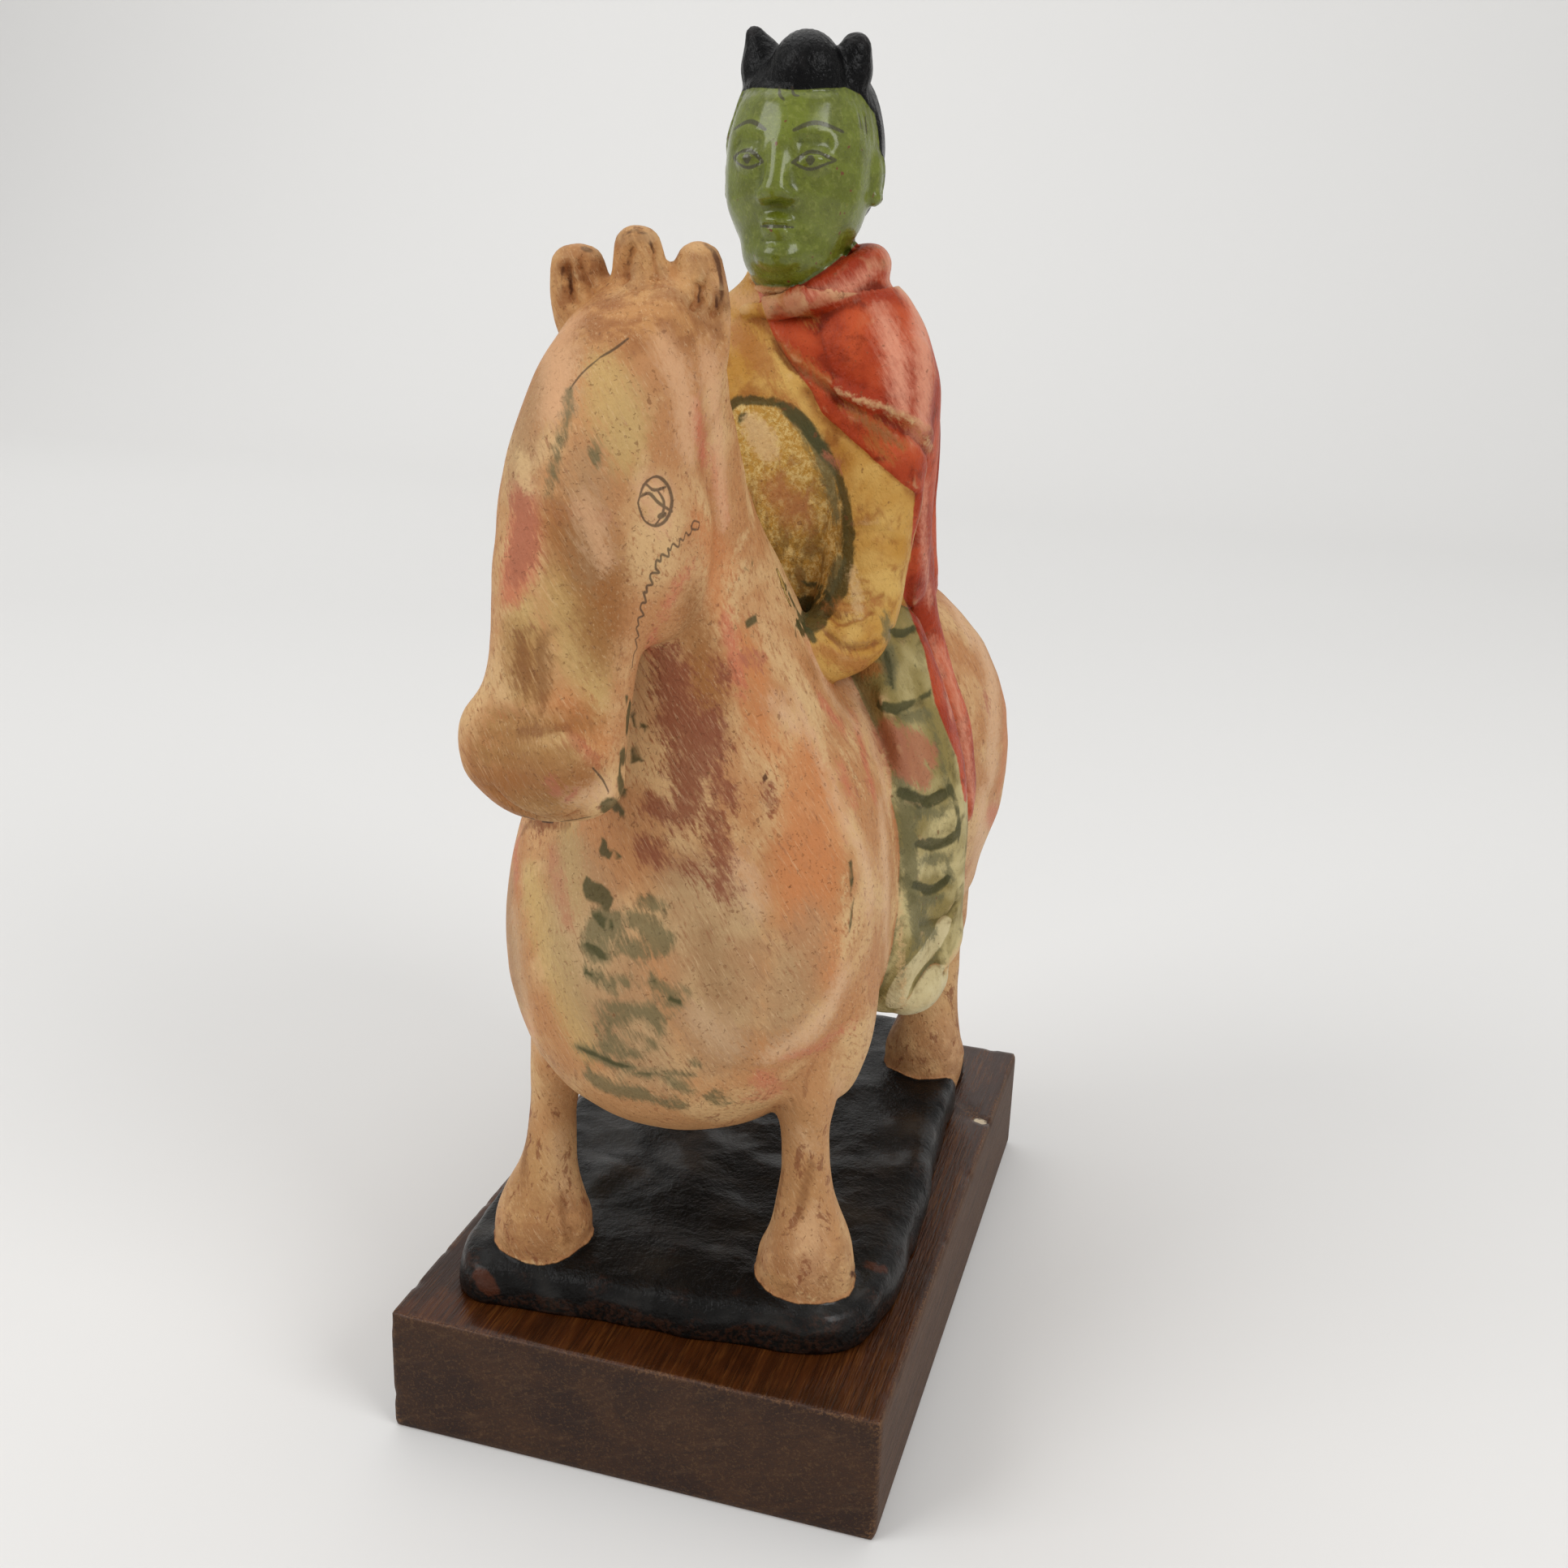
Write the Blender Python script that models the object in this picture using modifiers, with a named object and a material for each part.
"""A horse and its rider, cast in one with the slab they stand on, set on a wooden plinth.

The horse looks along -Y, its left side is +X, and the origin is the middle of the
plinth's underside.
"""

import math

import bmesh
import bpy
import numpy as np
from mathutils import Matrix, Vector, kdtree, noise

# Driving sizes, in metres
FIGURE_HEIGHT = 0.220  # from the slab's top to the top of the rider's hair
SLAB_THICKNESS = 0.0090
SLAB_LUMPS = 0.0006  # how far the slab's skin rises and falls
PLINTH_THICKNESS = 0.0254
PLINTH_SIDE_MARGIN = 0.0055  # wood left showing beside the slab
PLINTH_END_MARGIN = 0.0065  # wood left showing before and behind the slab
PLINTH_EDGE_ROUND = 0.0010
SEAT_GAP = 0.0003  # between the wood and the slab resting on it

# The figure's proportions: its height holds 220 parts, and every place and half-width
# of the horse and the rider below is given in them, from the slab's top upwards.
PART = FIGURE_HEIGHT / 220
GROUND = PLINTH_THICKNESS + SEAT_GAP + SLAB_THICKNESS

# The slab's outline, in parts, clockwise from the corner before the right forefoot
SLAB_OUTLINE = (
    (-41, -56), (-35, -65), (-14, -64), (10, -62), (32, -59), (40, -50),
    (42, -34), (41, -8), (39, 16), (37, 48), (32, 65), (4, 67),
    (-26, 66), (-36, 55), (-40, 20), (-42, -20),
)

# Where the two heads stand, in parts
RIDER_HEAD_X = 3.0
POLL = Vector((-4, -56, 166))  # where the horse's head is hinged on its neck
HORSE_HEAD_TURN = -18  # degrees, to the horse's right

# How finely the forms are fused, in parts, and how many triangles the figure keeps
BODY_VOXEL = 2.2
RIDER_VOXEL = 1.3
SKIN_VOXEL = 0.9
FIGURE_TRIANGLES = 9300

COLLECTION = bpy.data.collections.new("horse_and_rider_on_plinth")
CUTTERS = bpy.data.collections.new("cutters")


def clear_scene():
    for obj in list(bpy.data.objects):
        bpy.data.objects.remove(obj)
    bpy.context.scene.collection.children.link(COLLECTION)
    bpy.context.scene.collection.children.link(CUTTERS)


def paint(name, colour, roughness):
    material = bpy.data.materials.new(name)
    material.use_nodes = True
    shader = material.node_tree.nodes["Principled BSDF"]
    shader.inputs["Base Color"].default_value = (*colour, 1)
    shader.inputs["Roughness"].default_value = roughness
    shader.inputs["Metallic"].default_value = 0
    material.diffuse_color = (*colour, 1)
    return material


def new_object(name, mesh, collection=COLLECTION):
    obj = bpy.data.objects.new(name, mesh)
    collection.objects.link(obj)
    return obj


def object_from(name, form, collection=COLLECTION):
    """An object made from a bmesh, which is used up."""
    bmesh.ops.recalc_face_normals(form, faces=form.faces)
    mesh = bpy.data.meshes.new(name)
    form.to_mesh(mesh)
    form.free()
    return new_object(name, mesh, collection)


def between(stations, steps):
    """The stations with more of them in between, on a smooth curve through them all."""
    rows = [list(map(float, station)) for station in stations]
    rows = [rows[0]] + rows + [rows[-1]]
    smooth = []
    for before, start, end, after in zip(rows, rows[1:], rows[2:], rows[3:]):
        for step in range(steps):
            t = step / steps
            smooth.append([
                0.5 * (2 * b + (c - a) * t + (2 * a - 5 * b + 4 * c - d) * t**2
                       + (3 * b - a - 3 * c + d) * t**3)
                for a, b, c, d in zip(before, start, end, after)
            ])
    smooth.append(rows[-1])
    return smooth


def limb(stations, side=(1, 0, 0), sides=20, steps=4, square=2.0, round_ends=1.0):
    """A rounded form along a path. A station is x, y, z, half-width and half-depth in parts.

    The half-width lies along side, the half-depth across it. A square above 2 fills out
    the corners of the section, and round_ends below 1 makes the ends flatter.
    """
    rows = between(stations, steps)
    centres = [Vector(row[:3]) for row in rows]
    form = bmesh.new()
    rings = []
    last = len(rows) - 1
    for index, (centre, row) in enumerate(zip(centres, rows)):
        ahead = (centres[min(index + 1, last)] - centres[max(index - 1, 0)]).normalized()
        across = (Vector(side) - ahead * ahead.dot(Vector(side))).normalized()
        deep = ahead.cross(across)
        width, depth = row[3:5]
        reach = min(width, depth) * round_ends
        if index == 0:
            caps = ((-1.0, 0.05), (-0.87, 0.5), (-0.5, 0.87), (0, 1))
        elif index == last:
            caps = ((0, 1), (0.5, 0.87), (0.87, 0.5), (1.0, 0.05))
        else:
            caps = ((0, 1),)
        for out, share in caps:
            ring = []
            for turn in range(sides):
                angle = math.tau * turn / sides
                c, s = math.cos(angle), math.sin(angle)
                c = math.copysign(abs(c) ** (2 / square), c)
                s = math.copysign(abs(s) ** (2 / square), s)
                spot = centre + ahead * out * reach
                spot = spot + across * (c * width * share) + deep * (s * depth * share)
                ring.append(form.verts.new(spot))
            rings.append(ring)
    for low, high in zip(rings, rings[1:]):
        for turn in range(sides):
            nxt = (turn + 1) % sides
            form.faces.new((low[turn], low[nxt], high[nxt], high[turn]))
    form.faces.new(rings[0][::-1])
    form.faces.new(rings[-1])
    return form


def ball(centre, radii, turn=(0, 0, 0)):
    """An egg with three half-axes, turned by degrees about X, Y and Z."""
    form = bmesh.new()
    bmesh.ops.create_uvsphere(form, u_segments=24, v_segments=16, radius=1)
    turned = Matrix.Identity(4)
    for angle, axis in zip(turn, "XYZ"):
        turned = Matrix.Rotation(math.radians(angle), 4, axis) @ turned
    place = Matrix.Translation(Vector(centre)) @ turned @ Matrix.Diagonal((*radii, 1))
    bmesh.ops.transform(form, matrix=place, verts=form.verts)
    return form


def mirrored(form):
    """The same form on the other side of the horse."""
    twin = form.copy()
    bmesh.ops.scale(twin, vec=(-1, 1, 1), verts=twin.verts)
    bmesh.ops.reverse_faces(twin, faces=twin.faces)
    return twin


def both_sides(form):
    return [form, mirrored(form)]


def joined(name, forms):
    """One mesh object that holds every form."""
    whole = bmesh.new()
    for form in forms:
        bmesh.ops.recalc_face_normals(form, faces=form.faces)
        mesh = bpy.data.meshes.new("form")
        form.to_mesh(mesh)
        form.free()
        whole.from_mesh(mesh)
        bpy.data.meshes.remove(mesh)
    mesh = bpy.data.meshes.new(name)
    whole.to_mesh(mesh)
    whole.free()
    return new_object(name, mesh)


def settled(obj):
    """The object with its modifiers made part of its mesh."""
    graph = bpy.context.evaluated_depsgraph_get()
    mesh = bpy.data.meshes.new_from_object(obj.evaluated_get(graph))
    obj.modifiers.clear()
    obj.data = mesh
    return obj


def fused(name, forms, voxel, smoothing):
    """The forms melted into one skin and smoothed, as a bmesh."""
    obj = joined(name, forms)
    remesh = obj.modifiers.new("fuse", "REMESH")
    remesh.mode = "VOXEL"
    remesh.voxel_size = voxel
    smooth = obj.modifiers.new("smooth", "SMOOTH")
    smooth.factor = 0.5
    smooth.iterations = smoothing
    settled(obj)
    form = bmesh.new()
    form.from_mesh(obj.data)
    bpy.data.objects.remove(obj)
    return form


def line_on(tree, spots, points):
    """A smooth line through the rough points, laid on the skin."""
    line = []
    for row in between(points, 6):
        line.append(spots[tree.find(row[:3])[1]])
    return np.array(line)


def beside(spots, line):
    """For each spot its nearest place on the line: the offset to it, the line's way, the share."""
    starts, runs = line[:-1], np.diff(line, axis=0)
    lengths = np.maximum((runs**2).sum(1), 1e-9)
    gap = spots[:, None] - starts[None]
    along = np.clip((gap * runs).sum(2) / lengths, 0, 1)
    offset = gap - along[..., None] * runs
    nearest = (offset**2).sum(2).argmin(1)
    rows = np.arange(len(spots))
    share = (nearest + along[rows, nearest]) / len(runs)
    way = runs[nearest] / np.sqrt(lengths[nearest])[:, None]
    return offset[rows, nearest], way, share


def eased(value):
    value = np.clip(value, 0, 1)
    return value * value * (3 - 2 * value)


def laid(skin, points, reach):
    """Lays a line on the skin. The spots within reach, with what beside says of each."""
    spots, tree = skin
    line = line_on(tree, spots, points)
    near = ((spots > line.min(0) - reach) & (spots < line.max(0) + reach)).all(1)
    near = np.flatnonzero(near)
    offset, way, share = beside(spots[near], line)
    close = (offset**2).sum(1) < reach**2
    fade = eased(share / 0.15) * eased((1 - share) / 0.15)
    return near[close], offset[close], way[close], fade[close]


def drape(skin, normals, folds):
    """How far each spot moves out for the folds.

    A fold is the rough points of its edge, its rise, how far it slopes away on the soft
    side, how deep and how wide the groove beyond the edge is, and the way to the soft side.
    """
    move = np.zeros(len(normals))
    for points, rise, slope, depth, width, soft in folds:
        near, offset, way, fade = laid(skin, points, max(slope, width))
        across = np.cross(way, normals[near])
        across *= np.sign(across @ np.array(soft))[:, None]
        far = (offset * across).sum(1)
        hill = np.where(far > 0, 1 - eased(far / slope), 1 - eased(-far / (0.45 * width)))
        ditch = np.sin(np.pi * np.clip(-far / width, 0, 1)) ** 2
        move[near] += (hill * rise - ditch * depth) * fade
    return move


def engrave(skin, count, lines):
    """How far each spot moves out for drawn lines, each with its depth and half-width."""
    move = np.zeros(count)
    for points, depth, width in lines:
        near, offset, _, fade = laid(skin, points, width)
        far = np.sqrt((offset**2).sum(1))
        move[near] -= depth * (1 - eased(far / width)) * fade
    return move


def horse_trunk():
    """Chest, barrel and rump in one, the neck rising from the chest."""
    trunk = limb(
        (
            (-1, -62, 74, 17, 19), (-1, -57, 72, 26.5, 31), (-1, -48, 69, 33, 40),
            (-1, -34, 67, 35.2, 44.5), (-1, -12, 67, 35, 45), (-0.6, 12, 69, 36.8, 46.5),
            (0, 34, 73, 41.5, 48), (0, 50, 77, 43, 45), (0, 61, 79, 35, 36),
            (0, 68, 80, 21, 22),
        ),
        sides=32,
        square=2.15,
        round_ends=0.2,
    )
    neck = limb(
        (
            (0, -30, 78, 28, 34), (0, -32, 94, 24.5, 33), (-0.5, -34, 109, 19.6, 29),
            (-1, -38, 122, 14, 25), (-1.5, -43, 134, 10.6, 21), (-2, -47, 146, 9.8, 18),
            (-3, -51, 157, 10.5, 15), (-3.5, -54, 166, 11.5, 12),
        ),
    )
    thighs = both_sides(limb(
        ((24, 44, 78, 16, 24), (28, 44, 62, 12, 21), (30, 46, 48, 8.5, 14)),
    ))
    shoulders = both_sides(limb(
        ((21.5, -36, 63, 12, 18), (24.5, -37, 48, 10.8, 13), (26, -40, 39, 7.4, 9)),
    ))
    return fused("trunk", [trunk, neck, *thighs, *shoulders], BODY_VOXEL, 16)


def head_place():
    """From the horse's own head, the poll at its origin, to the figure."""
    return Matrix.Translation(POLL) @ Matrix.Rotation(math.radians(HORSE_HEAD_TURN), 4, "Z")


def horse_head():
    """The long head, hanging from the poll."""
    skull = limb(
        (
            (0, 1, 7, 10, 7), (0, -5, -3, 12, 13), (0, -11, -17, 12.5, 16),
            (0, -16, -31, 11.5, 15), (0, -20, -44, 10.5, 12), (0, -22.5, -54, 11.5, 11),
            (0, -23.5, -63, 11.5, 11),
        ),
        square=2.4,
        round_ends=0.7,
    )
    cheeks = both_sides(ball((6, -7, -27), (7.5, 14, 18), (14, 0, 0)))
    nostrils = both_sides(ball((7, -30, -60.5), (5.5, 5, 6)))
    lips = [ball((0, -22.5, -65.5), (11.5, 9, 5))]
    forms = [fused("head", [skull, *cheeks, *nostrils, *lips], RIDER_VOXEL, 8)]
    for form in forms:
        bmesh.ops.transform(form, matrix=head_place(), verts=form.verts)
    return forms


def crest():
    """Two ears with the tuft of the forelock standing between them."""
    tuft = limb(
        ((-4, -53, 166, 6.5, 6), (-5, -56, 175, 5.2, 3.8), (-5.6, -57, 183, 4, 2.8)),
        steps=3,
    )
    right_ear = limb(
        ((-11, -53, 162, 5.5, 5), (-15.5, -54, 172, 5.6, 3.4), (-16.5, -55, 180, 4.6, 2.8)),
        steps=3,
    )
    left_ear = limb(
        ((3.4, -56, 158, 4.2, 4.5), (4.2, -55, 168, 4.9, 3.8), (4, -54.5, 175, 4.8, 3.4),
         (3.4, -54, 181, 3.8, 2.8)),
        steps=3,
    )
    return [tuft, right_ear, left_ear]


def foreleg(x, back=0.0):
    return limb(
        (
            (0.88 * x, -43, 48, 7.5, 10), (0.93 * x, -48 + 0.3 * back, 37, 5.7, 7),
            (0.95 * x, -50 + 0.6 * back, 28, 4.3, 5.2), (0.97 * x, -51 + 0.9 * back, 17, 5.2, 6),
            (x, -52 + back, 9, 7.8, 8), (x, -52.5 + back, 4, 9.4, 9.4 - 0.25 * back),
            (x, -52.5 + back, -2, 9.2, 9.2 - 0.25 * back),
        ),
    )


def hind_leg(x):
    return limb(
        (
            (0.92 * x, 43, 58, 11, 18), (0.97 * x, 47, 44, 8, 11), (x, 50, 34, 6.3, 7.6),
            (x, 50, 26, 5.6, 6.6), (x, 47, 15, 6.2, 6.6), (x, 44, 8, 8, 8),
            (x, 43, 3.5, 9.4, 9.2), (x, 43, -2, 9, 9),
        ),
    )


def tail():
    return limb(
        ((0, 62, 106, 6, 6), (0, 69, 98, 6, 5.5), (0, 71.5, 84, 5.6, 5), (0, 70, 68, 4, 4)),
    )


def saddle_flaps():
    return both_sides(limb(
        ((27, 2, 104, 3, 18), (33.5, 2, 88, 3, 20), (36, 2, 66, 3, 20), (35.8, 1, 50, 3, 20),
         (34.6, 0, 40, 3, 17)),
        side=(1, 0, 0),
    ))


def rider_legs():
    """Each leg hangs straight down the flank and ends in a soft boot."""
    leg = limb(
        ((20, 3, 112, 9, 12), (28, 1, 98, 9, 12), (33.5, 0, 82, 8.6, 11), (35, 0, 66, 8, 9.5),
         (35, 1, 54, 7.8, 9), (34.5, 0, 46, 7, 9)),
    )
    boot = ball((34.5, -4, 43), (7, 12, 6.5), (0, -20, 0))
    return both_sides(leg) + both_sides(boot)


def rider_trunk():
    return limb(
        (
            (1, 4, 98, 24, 19), (1, 3, 112, 23, 17), (1.5, 2, 130, 21.5, 15.5),
            (2, 2, 148, 23, 14.5), (2, 3, 161, 24, 13), (2, 4, 170, 18, 11),
            (2, 4.5, 177, 9.5, 9), (2, 4.5, 186, 8, 8),
        ),
        sides=28,
    )


def sleeves():
    """Both arms come down to the waist and meet in front of it."""
    return both_sides(limb(
        ((20.5, 1, 161, 9.4, 10), (21.5, -3, 149, 8.6, 9.4), (21.4, -6, 136, 8.4, 8.6),
         (21, -9, 124, 8.2, 8), (20, -15, 115.5, 8, 7.2), (14, -21.5, 112.5, 7.2, 6.2),
         (7, -25, 113, 6, 5.2)),
        side=(1, 0, 0),
    ))


def cloak():
    """A mantle over the left shoulder, down the back and onto the croup."""
    shoulder = limb(
        ((8, 5, 173, 8, 10), (14, 5, 168, 11, 13), (19, 4, 158, 11, 14), (20.5, 4, 147, 9.8, 13),
         (21.5, 5, 134, 8.4, 11), (22, 7, 122, 7.5, 9)),
    )
    back = limb(
        ((2, 12, 174, 11, 6), (3, 14, 165, 23, 8), (4, 16, 150, 25.4, 9), (4, 19, 134, 25, 9),
         (4, 25, 121, 25, 8), (3, 34, 115, 24, 7), (2, 42, 113, 20, 6)),
    )
    flank = limb(
        ((24.5, 13, 130, 5, 6), (26.3, 16, 114, 4.6, 6), (30.5, 17, 101, 4.4, 5.5),
         (34.5, 18, 91, 4.2, 5), (37.5, 19, 78, 3.4, 4.4), (38.3, 19, 71, 2.4, 3.6)),
    )
    collar = limb(
        ((-4, -7, 171.5, 1.6, 1.6), (5, -8.5, 173, 2, 2), (12.5, -5, 176.5, 3.4, 3.4),
         (16.5, 3, 180, 4, 4), (13, 12, 180, 4, 4), (3, 15.5, 178, 3.8, 3.8),
         (-7, 12, 175, 3, 3)),
        side=(0, 0, 1),
        sides=14,
    )
    return [shoulder, back, flank, collar]


def rider_head():
    """A plain round head with a calm, even face, the eyes halfway up."""
    x = RIDER_HEAD_X
    skull = ball((x, 5, 199), (13.6, 15.5, 17.5))
    face = limb(
        ((x, 2, 200, 13.4, 14.6), (x, 1, 193, 13.3, 13.8), (x, -0.3, 187.5, 12.3, 12.8),
         (x, -2, 183, 9.4, 10.4)),
    )
    nose = limb(
        ((x, -12.2, 199, 1.2, 1.2), (x, -13.4, 194, 1.6, 1.5), (x, -13.9, 191, 2.2, 1.8)),
        sides=12,
    )
    lips = ball((x, -11.8, 186.2), (3, 1.8, 1.3))
    chin = ball((x, -9.2, 182), (4, 4, 3))
    ears = [ball((x + out * 13.3, 5, 195.5), (1.5, 3, 5)) for out in (-1, 1)]
    return [skull, face, nose, lips, chin, *ears]


def hair():
    """A close cap with a round tuft over the brow and a knot at each side."""
    x = RIDER_HEAD_X
    cap = ball((x, 6.5, 200), (13.8, 16.2, 18))
    tuft = ball((x + 1.7, -1.5, 211.7), (6.5, 7, 7.4))
    right_knot = limb(
        ((x - 7.2, 4, 209.5, 3.8, 4.4), (x - 8, 3.5, 214.5, 4, 4.2),
         (x - 9.6, 3, 218.8, 1.5, 2)),
    )
    left_knot = limb(
        ((x + 6.8, 4, 208, 3.4, 4.2), (x + 8, 3.6, 213.3, 4.1, 4.4),
         (x + 9.2, 3, 216.6, 2.6, 3)),
    )
    return [cap, tuft, right_knot, left_knot]


def folds():
    """The edges and folds of the mantle, sleeves, saddle-cloth and trousers."""
    up, left, back = (0, 0, 1), (1, 0, 0), (0, 1, 0)
    mantle = [
        (((-2, -9, 171), (10, -12, 166), (20, -11, 159.5), (28.5, -6, 153.5), (31, 3, 145)),
         1.8, 9, 1.3, 4.5, up),
        (((9, -12, 158), (17, -11, 150.5), (24, -9, 145), (29.5, -4, 141)), 1.5, 5, 0.8, 3, up),
        (((29.5, -2, 138), (29, -1, 125), (28, 2, 112)), 1.3, 5, 0.8, 3, back),
    ]
    behind = [
        (((start, 24, 168), (start * 1.4, 28, 145), (start * 1.6, 34, 124)), 1.2, 5, 0.9, 4, left)
        for start in (-13, -5, 4, 12)
    ]
    legs = [
        (line, *rest)
        for side in (1, -1)
        for line, *rest in (
            (((side * 40, -6, 46), (side * 44, 2, 49), (side * 42, 10, 53)), 1.1, 6, 0.9, 3, up),
            (((side * 30, -19, 96), (side * 34, -20, 70), (side * 34, -19, 46)),
             1.0, 5, 0.7, 3, back),
        )
    ]
    return mantle + behind + legs


def grooves():
    """Drawn lines: points, depth and half-width. Ears, forelock, mouth, sleeves, brow."""
    crest_lines = [
        (((-7, -62, 172), (-7.2, -62, 181)), 1.0, 1.6),
        (((-3, -62, 170), (-3.4, -61, 179)), 1.0, 1.6),
        (((-16.5, -60, 168), (-17.5, -59, 178)), 1.0, 1.6),
        (((4.5, -61, 164), (4, -59, 177)), 1.0, 1.6),
    ]
    place = head_place()
    muzzle = [
        [(-13, -22, -60), (-10, -29, -65), (0, -34, -67), (10, -29, -65), (13, -22, -60)],
        [(-12, -28, -50), (0, -33, -50), (12, -28, -50)],
    ]
    muzzle = [([tuple(place @ Vector(spot)) for spot in line], 0.9, 1.8) for line in muzzle]
    sleeve = [
        (line, 0.8, 2.0)
        for line in (
            ((13, -20, 124), (22, -18, 121), (30, -10, 123)),
            ((12, -26, 118), (20, -24, 116), (28, -16, 113)),
        )
    ]
    x = RIDER_HEAD_X
    brow = [(((x + out * 3, -12, 199), (x + out * 9, -10, 199)), 1.1, 2.6) for out in (-1, 1)]
    return crest_lines + muzzle + sleeve + brow


def lumpy_slab():
    """The slab's outline drawn up to its top, with a soft edge and an uneven skin."""
    form = bmesh.new()
    outline = between((*SLAB_OUTLINE, SLAB_OUTLINE[0]), 5)[:-1]
    thickness = SLAB_THICKNESS / PART
    profile = ((0.975, -1.6), (1, -0.9), (1, -0.45), (0.985, -0.18), (0.95, -0.03), (0.88, 0.0))
    rings = [
        [form.verts.new((x * share, y * share, height * thickness)) for x, y in outline]
        for share, height in profile
    ]
    count = len(outline)
    for low, high in zip(rings, rings[1:]):
        for turn in range(count):
            nxt = (turn + 1) % count
            form.faces.new((low[turn], low[nxt], high[nxt], high[turn]))
    form.faces.new(rings[0][::-1])
    form.faces.new(rings[-1])
    form = fused("slab", [form], RIDER_VOXEL, 2)
    for vert in form.verts:
        spot = vert.co * 0.09
        vert.co += vert.normal * noise.noise(spot) * SLAB_LUMPS / PART * 2
    return form


def carve(obj, edges, lines):
    """Works the folds and the drawn lines into an object's mesh."""
    mesh = obj.data
    spots = np.empty(len(mesh.vertices) * 3, np.float32)
    normals = np.empty(len(mesh.vertices) * 3, np.float32)
    mesh.vertices.foreach_get("co", spots)
    mesh.vertex_normals.foreach_get("vector", normals)
    spots = spots.reshape(-1, 3).astype(float)
    normals = normals.reshape(-1, 3).astype(float)
    tree = kdtree.KDTree(len(spots))
    for index, spot in enumerate(spots):
        tree.insert(spot, index)
    tree.balance()
    skin = spots, tree
    move = drape(skin, normals, edges) + engrave(skin, len(spots), lines)
    mesh.vertices.foreach_set("co", (spots + normals * move[:, None]).ravel())
    mesh.update()


def cut_flat_below(obj, level):
    """Cuts away whatever hangs below a level."""
    depth = 2 * SLAB_THICKNESS
    form = bmesh.new()
    bmesh.ops.create_cube(form, size=1)
    size = Matrix.Diagonal((1, 1, depth, 1))
    place = Matrix.Translation((0, 0, level - depth / 2))
    bmesh.ops.transform(form, matrix=place @ size, verts=form.verts)
    cutter = object_from("below_the_slab", form, CUTTERS)
    cutter.hide_render = True
    cutter.display_type = "WIRE"
    cut = obj.modifiers.new("flat_underside", "BOOLEAN")
    cut.operation = "DIFFERENCE"
    cut.solver = "EXACT"
    cut.object = cutter


def horse_and_rider():
    horse = [horse_trunk(), *horse_head(), *crest(), tail()]
    horse += [foreleg(26.3, 3.6), foreleg(-25.2)]
    for x in (29.5, -29.5):
        horse.append(hind_leg(x))
    rider = [rider_trunk(), *sleeves(), *cloak(), *rider_legs(), *saddle_flaps()]
    horse = fused("horse", horse, SKIN_VOXEL, 5)
    rider = fused("rider", rider, RIDER_VOXEL, 5)
    head = fused("head", [*rider_head(), *hair()], SKIN_VOXEL, 2)
    figure = joined("horse_and_rider", [horse, rider, head, lumpy_slab()])
    remesh = figure.modifiers.new("fuse", "REMESH")
    remesh.mode = "VOXEL"
    remesh.voxel_size = SKIN_VOXEL
    smooth = figure.modifiers.new("smooth", "SMOOTH")
    smooth.factor = 0.5
    smooth.iterations = 2
    settled(figure)
    carve(figure, folds(), grooves())
    faces = sum(len(face.vertices) - 2 for face in figure.data.polygons)
    decimate = figure.modifiers.new("fewer_faces", "DECIMATE")
    decimate.ratio = FIGURE_TRIANGLES / faces
    settled(figure)
    figure.data.transform(Matrix.Translation((0, 0, GROUND)) @ Matrix.Scale(PART, 4))
    cut_flat_below(figure, PLINTH_THICKNESS + SEAT_GAP)
    figure.data.shade_smooth()
    figure.data.materials.append(paint("painted_ceramic", (0.72, 0.44, 0.28), 0.45))
    return figure


def wooden_plinth():
    half_width = max(abs(x) for x, _ in SLAB_OUTLINE) * PART + PLINTH_SIDE_MARGIN
    half_length = max(abs(y) for _, y in SLAB_OUTLINE) * PART + PLINTH_END_MARGIN
    form = bmesh.new()
    bmesh.ops.create_cube(form, size=1)
    size = Matrix.Diagonal((2 * half_width, 2 * half_length, PLINTH_THICKNESS, 1))
    place = Matrix.Translation((0, 0, PLINTH_THICKNESS / 2))
    bmesh.ops.transform(form, matrix=place @ size, verts=form.verts)
    plinth = object_from("wooden_plinth", form)
    bevel = plinth.modifiers.new("eased_edges", "BEVEL")
    bevel.width = PLINTH_EDGE_ROUND
    bevel.segments = 3
    plinth.data.materials.append(paint("stained_wood", (0.12, 0.045, 0.02), 0.4))
    return plinth


clear_scene()
wooden_plinth()
horse_and_rider()
